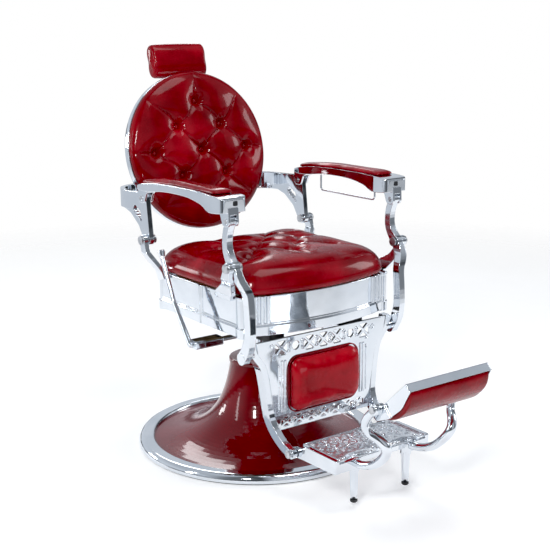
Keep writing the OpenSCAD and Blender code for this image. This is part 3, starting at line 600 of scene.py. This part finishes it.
def swept_pad(name, profile, half, end_roll, dome, belly, place):
    """Closed pad along X from -half to half, fuller by belly at its middle, rolled and domed at its ends."""
    profile = np.array(profile, float)
    middle = (profile.max(axis=0) + profile.min(axis=0)) / 2
    reach = np.linalg.norm(profile - middle, axis=1)[:, None]
    stations = []
    for share in (0.04, 0.3, 0.6, 0.85):
        stations.append((half + dome * (1 - share ** 2), share, end_roll))
    for turn in np.linspace(0, math.pi / 2, 7):
        stations.append((half - end_roll * (1 - math.cos(turn)), 1.0, end_roll * (1 - math.sin(turn))))
    inner = half - end_roll
    middle_runs = max(2, round(inner / 5))
    rows = [(-x, share, inset) for x, share, inset in stations]
    rows += [(-inner + 2 * inner * k / middle_runs, 1.0, 0.0) for k in range(1, middle_runs)]
    rows += list(reversed(stations))
    points = []
    for x, share, inset in rows:
        full = 1 + belly / reach.mean() * (1 - (x / half) ** 2)
        ring = middle + (profile - middle) * (1 - inset / reach) * share * full
        points.append(np.column_stack([np.full(len(ring), x), ring]))
    solid = place(np.vstack(points)) * MM
    return bare_piece(name, solid, ring_faces(len(rows), len(profile)))


SPINE_STEP = 6


def pillow(name, outline, spine, section, place):
    """Closed pad over a plan outline, with rings that close on a spine; section lists (share, height)."""
    rim = np.array(outline, float)
    core = np.array([spine(x, y) for x, y in outline], float)
    core = core[0] + np.round((core - core[0]) / SPINE_STEP) * SPINE_STEP
    points = []
    for share, height in section:
        ring = core + (rim - core) * share
        points.append(np.column_stack([ring, np.full(len(ring), height)]))
    solid = place(np.vstack(points)) * MM
    faces = ring_faces(len(section), len(rim), close_start=False, close_end=False)
    return bare_piece(name, solid, faces)


def bare_piece(name, vertices, faces):
    """A welded mesh with outward faces, and no body or material yet."""
    mesh = bpy.data.meshes.new(name)
    mesh.from_pydata([tuple(v) for v in vertices], [], faces)
    mesh.update()
    build = bmesh.new()
    build.from_mesh(mesh)
    bmesh.ops.remove_doubles(build, verts=build.verts, dist=1e-6)
    bmesh.ops.recalc_face_normals(build, faces=build.faces)
    build.to_mesh(mesh)
    build.free()
    obj = bpy.data.objects.new(name, mesh)
    bpy.context.scene.collection.objects.link(obj)
    return obj


def domed(base, crown):
    """Section of a full pad, crown high over its base, from the spine to the rim and back under it."""
    shape = [(0.0, 1.0), (0.12, 0.998), (0.26, 0.99), (0.40, 0.975), (0.54, 0.945), (0.66, 0.90),
             (0.76, 0.845), (0.84, 0.77), (0.90, 0.68), (0.95, 0.56), (0.985, 0.42), (1.0, 0.30),
             (0.998, 0.14), (0.975, 0.0), (0.7, 0.0), (0.35, 0.0), (0.0, 0.0)]
    return [(share, base + crown * height) for share, height in shape]


PAD_PRESSURE = 4.0
CLOTH_FRAMES = 20


def inflate(obj, cap):
    """Swells a pad as filled leather: cloth under pressure, with no point moving more than cap."""
    scene = bpy.context.scene
    bpy.context.view_layer.objects.active = obj
    start = np.array([v.co for v in obj.data.vertices])
    cloth = obj.modifiers.new("cloth", "CLOTH")
    settings = cloth.settings
    settings.quality = 6
    settings.mass = 0.3
    settings.tension_stiffness = 12
    settings.compression_stiffness = 12
    settings.shear_stiffness = 8
    settings.bending_stiffness = 0.6
    settings.use_pressure = True
    settings.uniform_pressure_force = PAD_PRESSURE
    settings.effector_weights.gravity = 0
    cloth.collision_settings.use_collision = False
    cloth.collision_settings.use_self_collision = False
    cloth.point_cache.frame_start = 1
    cloth.point_cache.frame_end = CLOTH_FRAMES
    for number in range(1, CLOTH_FRAMES + 1):
        scene.frame_set(number)
    apply_modifier(obj, cloth)
    scene.frame_set(1)
    moved = np.array([v.co for v in obj.data.vertices]) - start
    length = np.linalg.norm(moved, axis=1)
    limit = np.minimum(1, cap / np.maximum(length, 1e-9))
    final = start + moved * limit[:, None]
    obj.data.vertices.foreach_set("co", final.astype(np.float32).ravel())
    smooth = obj.modifiers.new("smooth", "SMOOTH")
    smooth.factor = 0.5
    smooth.iterations = 2
    apply_modifier(obj, smooth)
    subdivide = obj.modifiers.new("subdivide", "SUBSURF")
    subdivide.levels = 1
    subdivide.render_levels = 1
    apply_modifier(obj, subdivide)


def apply_modifier(obj, modifier):
    bpy.context.view_layer.objects.active = obj
    with bpy.context.temp_override(object=obj, active_object=obj, selected_objects=[obj]):
        bpy.ops.object.modifier_apply(modifier=modifier.name)


def padded_piece(obj, body, node, look=None):
    """Finishes a leather pad that stands for a soft CAD node."""
    finish_piece(obj, "red_leather", body, look=look)
    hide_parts(node)


def rounded_rectangle(x0, x1, y0, y1, radius, steps=6):
    """A closed outline with steps points to each round corner."""
    corners = [(x1 - radius, y1 - radius, 0), (x0 + radius, y1 - radius, 90),
               (x0 + radius, y0 + radius, 180), (x1 - radius, y0 + radius, 270)]
    points = []
    for cx, cy, start in corners:
        for i in range(steps + 1):
            turn = math.radians(start + 90 * i / steps)
            points.append((cx + radius * math.cos(turn), cy + radius * math.sin(turn)))
    return points


def piping(name, path, radius, body):
    """A thin sewn welt along a closed path of points in mm."""
    curve = bpy.data.curves.new(name, "CURVE")
    curve.dimensions = "3D"
    curve.bevel_depth = radius * MM
    curve.bevel_resolution = 3
    spline = curve.splines.new("POLY")
    spline.points.add(len(path) - 1)
    for point, at in zip(spline.points, path):
        point.co = (*(np.array(at) * MM), 1)
    spline.use_cyclic_u = True
    obj = bpy.data.objects.new(name, curve)
    bpy.context.scene.collection.objects.link(obj)
    bpy.context.view_layer.update()
    mesh = bpy.data.meshes.new_from_object(obj.evaluated_get(bpy.context.evaluated_depsgraph_get()))
    bpy.data.objects.remove(obj)
    piece = bpy.data.objects.new(name, mesh)
    bpy.context.scene.collection.objects.link(piece)
    finish_piece(piece, "red_leather", body)


def oval(middle, half, power):
    """A closed superellipse round middle with half sizes half."""
    count = 64
    points = []
    for k in range(count):
        turn = 2 * math.pi * k / count
        c, d = math.cos(turn), math.sin(turn)
        points.append((middle[0] + half[0] * math.copysign(abs(c) ** (2 / power), c),
                       middle[1] + half[1] * math.copysign(abs(d) ** (2 / power), d)))
    return points


def headrest():
    """Full, roll-shaped headrest with softly rounded ends."""
    section = oval((39.3, 279.5), (23.6, 50.2), 2.5)
    half = 93.5

    def place(points):
        return from_back(np.column_stack([points[:, 0], points[:, 2], -points[:, 1]]))

    roll = swept_pad("headrest_leather", section, half, 11, 1.0, 1.6, place)
    inflate(roll, cap=0.003)
    padded_piece(roll, "headrest", "headrest_cushion")


ARM_TOP, ARM_DROP = 790.6, 15.5


def arm_pads():
    """Leather pads that swell over the arm rails, which drop towards the back."""
    outline = [(241, -232), (243, -238), (248, -243), (295, -243), (300, -239), (302, -232), (299, -180),
               (296, 0), (295, 120), (292, 131), (285, 137), (266, 137), (258, 132), (253, 120), (248, 0),
               (244, -180)]
    for side, word in ((1, "left"), (-1, "right")):

        def place(points, side=side):
            top = ARM_TOP - ARM_DROP * np.clip((points[:, 1] + 60) / 200, 0, 1) ** 1.7
            return np.column_stack([side * points[:, 0], points[:, 1], top + points[:, 2]])

        def spine(_, y):
            return (273, max(-214, min(112, y)))

        pad = pillow(f"arm_pad_{word}_leather", dense(outline, 7), spine, domed(0, 9.5), place)
        inflate(pad, cap=0.002)
        padded_piece(pad, f"{word}_arm", f"arm_pad_{word}")


def dense(outline, step):
    """The outline with extra points so that none are further apart than step."""
    points = []
    for a, b in zip(outline, outline[1:] + outline[:1]):
        pieces = max(1, math.ceil(math.dist(a, b) / step))
        for k in range(pieces):
            points.append(tuple(np.array(a) + (np.array(b) - np.array(a)) * k / pieces))
    return points


CALF_BASE, WELT_Y = -306.8, -308.6


def calf_pad():
    """Bulging pad on the leg rest's panel, with a welt round its foot; its leather is the brightened copy,
    painted light on the pad.
    """
    outline = dense(rounded_rectangle(-119, 118, 194, 346, 30), 6)

    def place(points):
        return np.column_stack([points[:, 0], CALF_BASE - points[:, 2], points[:, 1]])

    def spine(x, _):
        return (max(-60, min(60, x)), 270)

    pad = pillow("calf_pad_leather", outline, spine, domed(0, 27), place)
    inflate(pad, cap=0.004)
    # The brightened leather paints the light that makes this pad look brighter than the rest.
    padded_piece(pad, "legrest", "calf_pad", look="painted_light_leather")
    rim = rounded_rectangle(-119.5, 119.5, 192.5, 347.5, 30, steps=10)
    piping("calf_pad_welt", [(x, WELT_Y, z) for x, z in rim], 1.8, "legrest")


# The flip-over pad's own axes, from its hinge
FLIP_HINGE = np.array([0, -680.0, 317.0])
FLIP_TILT = math.radians(44)
PAD_U = np.array([0, -math.cos(FLIP_TILT), math.sin(FLIP_TILT)])
PAD_N = np.array([0, math.sin(FLIP_TILT), math.cos(FLIP_TILT)])
PAD_PROFILE = [(-24.5, 5.2), (-24.8, 13), (-22, 20), (-14, 25), (-2, 31), (14, 39.5), (30, 45.5),
               (48, 48.5), (66, 48.5), (84, 46), (99, 41), (111, 33.5), (118.5, 25), (121.3, 15),
               (120.8, 5.2), (80, 5.2), (40, 5.2), (0, 5.2)]


def from_pad(points):
    """x, distance from the hinge and depth under the tray, in mm, to the chair's frame."""
    return FLIP_HINGE + points[:, :1] * BACK_X + points[:, 1:2] * PAD_U - points[:, 2:3] * PAD_N


def flip_cushion():
    """Convex cushion under the flip-over pad's tray, thin at the hinge and full towards its far edge."""
    pad = swept_pad("flip_cushion_leather", dense(PAD_PROFILE, 9), 131.3, 4, 0, 0, from_pad)
    inflate(pad, cap=0.002)
    padded_piece(pad, "flip_pad", "flip_cushion")


# ---- Fine castings ----

def swan_necks():
    """Smooth swan-neck castings that carry the flip-over pad, in place of the CAD's straight runs."""
    path = [(94, -552, 128, 11), (98, -586, 132, 11), (98, -630, 150, 11.5), (101, -666, 182, 12.5),
            (109, -681, 210, 13), (122, -670, 231, 12), (137, -650, 246, 11), (148.5, -646, 268, 10.5),
            (150, -660, 294, 10.5), (148, -680, 317, 10)]
    count = 20
    spline = catmull(np.array(path, float), 8)
    for side, word in ((1, "left"), (-1, "right")):
        centres = spline[:, :3] * np.array([side, 1, 1])
        vertices = sweep(centres, spline[:, 3], count)
        faces = ring_faces(len(centres), count)
        obj = new_piece(f"swan_neck_{word}", vertices * MM, faces, "chrome", "footrest")
        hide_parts("lyre_arms")
        disc_x(f"swan_boss_{word}", side * 138, side * 154, (-680, 317), 14, "chrome", "footrest")


LEG_X, LEG_Y = 89, -540


def foot_legs():
    """Tapered legs with a collar, fuller than the CAD's, over the same rubber tips."""
    profile = [(22, 9.4), (60, 10.6), (99, 12.0), (101, 13.2), (104, 13.4), (106, 12.6)]
    for side, word in ((1, "left"), (-1, "right")):
        count = 32
        vertices = []
        for z, radius in profile:
            for k in range(count):
                turn = 2 * math.pi * k / count
                x, y = side * LEG_X + radius * math.cos(turn), LEG_Y + radius * math.sin(turn)
                vertices.append((x, y, z))
        faces = ring_faces(len(profile), count)
        leg = new_piece(f"foot_leg_{word}", np.array(vertices) * MM, faces, "chrome", "footrest")
        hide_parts("foot_legs")


def spiral(centre, radius, start, hand):
    """Plan points of a scroll that winds in to its eye."""
    turns, steps = 1.3, 26
    points = []
    for i in range(steps + 1):
        t = i / steps
        turn = start + hand * turns * 2 * math.pi * t
        reach = radius * (1 - 0.78 * t)
        points.append((centre[0] + reach * math.cos(turn), centre[1] + reach * math.sin(turn)))
    return points


def tracery(name, strokes, place, body):
    """Raised scrollwork: each stroke is a list of plan points and a wire radius, swept into one piece."""
    vertices, faces = [], []
    count = 8
    for points, radius in strokes:
        centres = place(np.array(points, float))
        rings = sweep(centres, np.full(len(centres), radius), count)
        first = len(vertices)
        faces += [tuple(first + index for index in face) for face in ring_faces(len(centres), count)]
        vertices += list(rings)
    new_piece(name, np.array(vertices) * MM, faces, "chrome", body)


def loop(centre, half):
    """An oval ring of points, closed by an overlap of one point."""
    count = 36
    return [(centre[0] + half[0] * math.cos(2 * math.pi * k / count),
             centre[1] + half[1] * math.sin(2 * math.pi * k / count)) for k in range(count + 1)]


DECK_FACE, PANEL_FACE = 143.4, -306.4


def scrollwork():
    """Plain scrolls between the cut-outs of the footplate and of the leg rest's panel."""

    def on_deck(points):
        return np.column_stack([points, np.full(len(points), DECK_FACE)])

    def on_panel(points):
        return np.column_stack([points[:, 0], np.full(len(points), PANEL_FACE), points[:, 1]])

    deck = []
    for row, y in enumerate((-446, -482)):
        for i in range(-3, 3):
            hand = 1 if (i + row) % 2 else -1
            deck.append((spiral((i * 40 + 20, y), 9.5, math.pi / 2 * (i + row), hand), 1.5))
    for side in (-1, 1):
        deck.append((loop((side * 70, -546), (34, 9.5)), 1.7))
        deck.append((loop((side * 70, -546), (22, 4.5)), 1.2))
        deck.append((spiral((side * 20, -538), 8, math.pi / 2, side), 1.5))
        deck.append((spiral((side * 122, -538), 8, math.pi / 2, -side), 1.5))
        deck.append(([(side * 141, y) for y in range(-545, -405, 10)], 1.6))
    deck.append(([(x, -407.5) for x in range(-141, 142, 12)], 1.6))
    tracery("footplate_scrolls", deck, on_deck, "footrest")
    panel = []
    for i in range(-3, 3):
        x = i * 47 + 23.5
        hand = 1 if i % 2 else -1
        panel.append((spiral((x, 386), 7.5, -math.pi / 2, hand), 1.3))
        panel.append((spiral((x, 368), 6.5, math.pi / 2, -hand), 1.3))
    for i in range(-3, 3):
        x = i * 42 + 21
        panel.append((spiral((x, 171), 7.5, math.pi / 2, 1 if i % 2 else -1), 1.3))
    for side in (-1, 1):
        panel.append((spiral((side * 172, 384), 9, math.pi, side), 1.5))
        panel.append((spiral((side * 150, 356), 6, 0, -side), 1.3))
        panel.append(([(side * 151, z) for z in range(205, 345, 10)], 1.8))
    tracery("panel_scrolls", panel, on_panel, "legrest")


ARM_PINS = [(-275, 726), (148, 733)]
ARM_SIDE, ARM_FRONT = 290, -289.9
SOCKET_DEPTH = 1.2


def socket_shades_and_bands():
    """Black discs on the ends of the arm pins and black walls in a slot in each arm's front, painted shade
    for the hollow sockets and slot, and joint bands on the pad's tray.
    """
    for side, word in ((1, "left"), (-1, "right")):
        for i, at in enumerate(ARM_PINS):
            # A black disc on each pin's end: painted shade in its socket.
            disc_x(f"arm_socket_shade_{word}_{i + 1}", side * ARM_SIDE, side * (ARM_SIDE + SOCKET_DEPTH), at, 3.4,
                   "black_plastic", f"{word}_arm")
        # Black walls in the square slot of each arm's front: painted shade in the hollow.
        slot = [(side * x, ARM_FRONT, z) for x, z in rounded_rectangle(263, 275, 765, 777, 2, steps=3)]
        depth = [(x, y + SOCKET_DEPTH, z) for x, y, z in slot]
        new_piece(f"arm_slot_shade_{word}", np.array(slot + depth) * MM, ring_faces(2, len(slot)),
                  "black_plastic", f"{word}_arm", smooth=False)
        for i, u in enumerate((21, 27)):
            band = from_pad(np.array([(side * 135, u, d) for d in np.linspace(2, 38 + i * 0.5, 12)]))
            count = 8
            rings = sweep(band, np.full(len(band), 1.5), count)
            faces = ring_faces(len(band), count)
            new_piece(f"tray_band_{word}_{i + 1}", rings * MM, faces, "chrome", "flip_pad")


def catmull(points, steps):
    """A smooth curve through the points, with steps rows from each to the next."""
    rows = []
    last = len(points) - 1
    for i in range(last):
        a, b, c, d = (points[max(i - 1, 0)], points[i], points[i + 1], points[min(i + 2, last)])
        for k in range(steps):
            t = k / steps
            bend = (2 * a - 5 * b + 4 * c - d) * t ** 2
            rows.append(0.5 * (2 * b + (c - a) * t + bend + (3 * b - a - 3 * c + d) * t ** 3))
    rows.append(points[-1])
    return np.array(rows)


def sweep(centres, radii, count):
    """Rings of count points round a path, without twist."""
    rings = []
    normal = np.eye(3)[np.argmin(np.abs(centres[1] - centres[0]))]
    for i, centre in enumerate(centres):
        run = centres[min(i + 1, len(centres) - 1)] - centres[max(i - 1, 0)]
        run = run / np.linalg.norm(run)
        normal = normal - run * (normal @ run)
        normal = normal / np.linalg.norm(normal)
        other = np.cross(run, normal)
        for k in range(count):
            turn = 2 * math.pi * k / count
            rings.append(centre + radii[i] * (math.cos(turn) * normal + math.sin(turn) * other))
    return np.array(rings)


def disc_x(name, x0, x1, at, radius, slot, body):
    """A round boss or cap along X with a rolled rim."""
    count = 40
    way = 1 if x1 > x0 else -1
    edge = min(1.5, radius * 0.2)
    profile = [(x0, 0.02), (x0, radius - edge), (x0 + way * edge * 0.3, radius - edge * 0.3),
               (x0 + way * edge, radius), (x1 - way * edge, radius),
               (x1 - way * edge * 0.3, radius - edge * 0.3), (x1, radius - edge), (x1, radius * 0.6),
               (x1, 0.02)]
    vertices = []
    for x, r in profile:
        for k in range(count):
            turn = 2 * math.pi * k / count
            vertices.append((x * MM, (at[0] + r * math.cos(turn)) * MM, (at[1] + r * math.sin(turn)) * MM))
    new_piece(name, vertices, ring_faces(len(profile), count), slot, body)


# ---- Floor and light ----

FLOOR_HALF = 4

# Name, place, what it is aimed at, width, height and watts of each light
SOFTBOXES = [
    ("key", (-2.5, -2.3, 2.6), (0, -0.1, 0.6), 0.4, 0.9, 60),
    ("strip", (-3.2, 0.6, 1.7), (0, -0.1, 0.7), 0.35, 1.8, 13),
    ("fill", (3.3, -1.5, 1.9), (0, -0.1, 0.6), 0.9, 1.3, 22),
    ("end", (-1.9, 3.2, 1.1), (0, 0.1, 1.0), 0.9, 0.5, 18),
    ("top", (0.4, -0.7, 3.3), (0, -0.1, 0.5), 1.5, 1.5, 26),
    ("rim", (1.2, 2.8, 2.4), (0, 0.1, 0.8), 1.6, 0.8, 20),
]


def studio():
    """A pale floor, soft lights and a bright room round the chair."""
    mesh = bpy.data.meshes.new("floor")
    corners = [(x * FLOOR_HALF, y * FLOOR_HALF, 0) for x, y in ((-1, -1), (1, -1), (1, 1), (-1, 1))]
    mesh.from_pydata(corners, [], [(0, 1, 2, 3)])
    floor = bpy.data.objects.new("floor", mesh)
    bpy.context.scene.collection.objects.link(floor)
    mesh.materials.append(floor_paper())
    for light in SOFTBOXES:
        softbox(*light)
    studio_world()


def floor_paper():
    """Pale backdrop paper that glows a little and fades out towards its edge."""
    n = Nodes("floor_paper")
    n.colour(n.ramp(n.noise(0.6, detail=2), [(0.3, (0.86, 0.86, 0.86)), (0.7, (0.90, 0.90, 0.90))]))
    n.rough(n.spread(n.noise(3), 0.55, 0.7))
    n.set(Specular_IOR_Level=0.25, Emission_Color=(1, 1, 1, 1), Emission_Strength=0.24)
    reach = n.add("ShaderNodeVectorMath", operation="LENGTH")
    n.link(n.place, reach.inputs[0])
    fade = n.spread(reach.outputs["Value"], 1.0, 0.0, at=(1.7, 3.7))
    n.link(fade, n.shader.inputs["Alpha"])
    return n.material


def softbox(name, at, target, width, height, watts):
    """A rectangular area light."""
    data = bpy.data.lights.new(name, "AREA")
    data.shape = "RECTANGLE"
    data.size = width
    data.size_y = height
    data.energy = watts
    light = bpy.data.objects.new(name, data)
    bpy.context.scene.collection.objects.link(light)
    light.location = at
    light.rotation_euler = (Vector(target) - Vector(at)).to_track_quat("-Z", "Y").to_euler()


# The studio's walls as reflections see them: brightness round the horizon, from -X by way of the front and
# back to -X, and brightness from straight down to straight up.
WALLS = [(0.00, 0.85), (0.06, 0.30), (0.12, 0.12), (0.16, 0.14), (0.19, 0.80), (0.27, 0.78), (0.31, 0.30),
         (0.37, 0.32), (0.40, 0.85), (0.49, 0.80), (0.52, 0.12), (0.57, 0.12), (0.61, 0.80), (0.69, 0.90),
         (0.90, 0.95), (1.00, 0.85)]
HEIGHTS = [(0.0, 0.35), (0.30, 0.62), (0.40, 0.86), (0.500, 0.88), (0.512, 0.14), (0.552, 0.14),
           (0.566, 0.95), (0.72, 0.90), (0.86, 0.70), (1.0, 0.75)]
ROOM_STRENGTH = 0.85
BLACK_LEVEL = 0.010


def studio_world():
    """A white room for the eye, and a room with dark gaps between bright panels for reflections."""
    world = bpy.data.worlds.new("studio")
    bpy.context.scene.world = world
    world.use_nodes = True
    tree = world.node_tree
    tree.nodes.clear()

    def add(kind, **values):
        node = tree.nodes.new(kind)
        for name, value in values.items():
            setattr(node, name, value)
        return node

    def ramp(source, low, high, stops):
        scale = add("ShaderNodeMapRange")
        scale.inputs["From Min"].default_value = low
        scale.inputs["From Max"].default_value = high
        tree.links.new(source, scale.inputs["Value"])
        node = add("ShaderNodeValToRGB")
        while len(node.color_ramp.elements) < len(stops):
            node.color_ramp.elements.new(0.5)
        for element, (at, value) in zip(node.color_ramp.elements, stops):
            element.position = at
            element.color = (value * 0.97, value, value * 1.04, 1)
        tree.links.new(scale.outputs["Result"], node.inputs["Fac"])
        return node.outputs["Color"]

    place = add("ShaderNodeTexCoord")
    parts = add("ShaderNodeSeparateXYZ")
    tree.links.new(place.outputs["Generated"], parts.inputs[0])
    turn = add("ShaderNodeMath", operation="ARCTAN2")
    tree.links.new(parts.outputs["Y"], turn.inputs[0])
    tree.links.new(parts.outputs["X"], turn.inputs[1])
    walls = ramp(turn.outputs[0], -math.pi, math.pi, WALLS)
    heights = ramp(parts.outputs["Z"], -1, 1, HEIGHTS)
    both = add("ShaderNodeMix", data_type="RGBA", blend_type="MULTIPLY")
    both.inputs["Factor"].default_value = 1
    tree.links.new(walls, both.inputs["A"])
    tree.links.new(heights, both.inputs["B"])
    room = add("ShaderNodeBackground")
    tree.links.new(both.outputs["Result"], room.inputs["Color"])
    room.inputs["Strength"].default_value = ROOM_STRENGTH
    white = add("ShaderNodeBackground")
    white.inputs["Color"].default_value = (1, 1, 1, 1)
    path = add("ShaderNodeLightPath")
    mix = add("ShaderNodeMixShader")
    tree.links.new(path.outputs["Is Camera Ray"], mix.inputs["Fac"])
    tree.links.new(room.outputs[0], mix.inputs[1])
    tree.links.new(white.outputs[0], mix.inputs[2])
    out = add("ShaderNodeOutputWorld")
    tree.links.new(mix.outputs[0], out.inputs["Surface"])
    view = bpy.context.scene.view_settings
    view.view_transform = "Standard"
    view.use_curve_mapping = True
    view.curve_mapping.black_level = (BLACK_LEVEL, BLACK_LEVEL, BLACK_LEVEL)
    view.curve_mapping.update()


make_camera()
paint_frame()
back_cushion()
seat_cushion()
headrest()
arm_pads()
calf_pad()
flip_cushion()
swan_necks()
foot_legs()
scrollwork()
socket_shades_and_bands()
studio()
